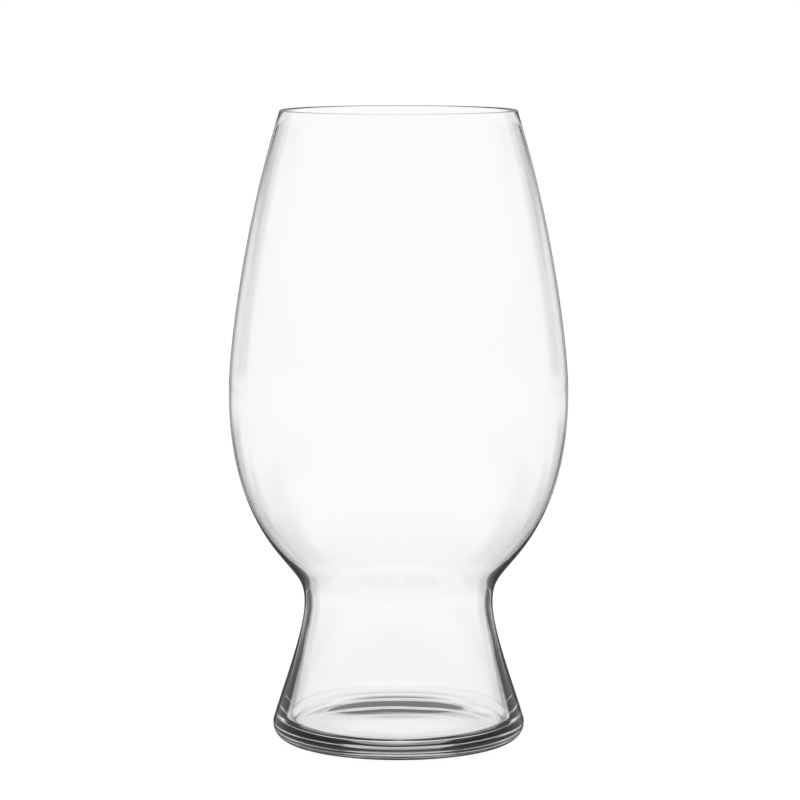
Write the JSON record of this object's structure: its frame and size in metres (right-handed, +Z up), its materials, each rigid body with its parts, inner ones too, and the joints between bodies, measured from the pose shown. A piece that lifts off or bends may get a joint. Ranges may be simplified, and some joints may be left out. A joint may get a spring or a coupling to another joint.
{
  "type": "wheat beer glass",
  "caption": "Tall clear drinking glass for wheat beer: thin bowl that swells and tapers to the rim, narrow waist, hollow flared foot and thick bottom.",
  "frame": {"origin": "centre of the standing ring, at the level of the table", "axes": "+Z up along the axis of the glass, towards the rim; the glass is round, so X and Y are alike"},
  "size_m": [0.0938, 0.0938, 0.175],
  "materials": {
    "clear_glass": "clear colourless soda-lime glass, fire-polished, smooth inside and out"
  },
  "bodies": {
    "root": {"bowl": "clear_glass", "foot": "clear_glass", "base": "clear_glass"}
  },
  "joints": []
}
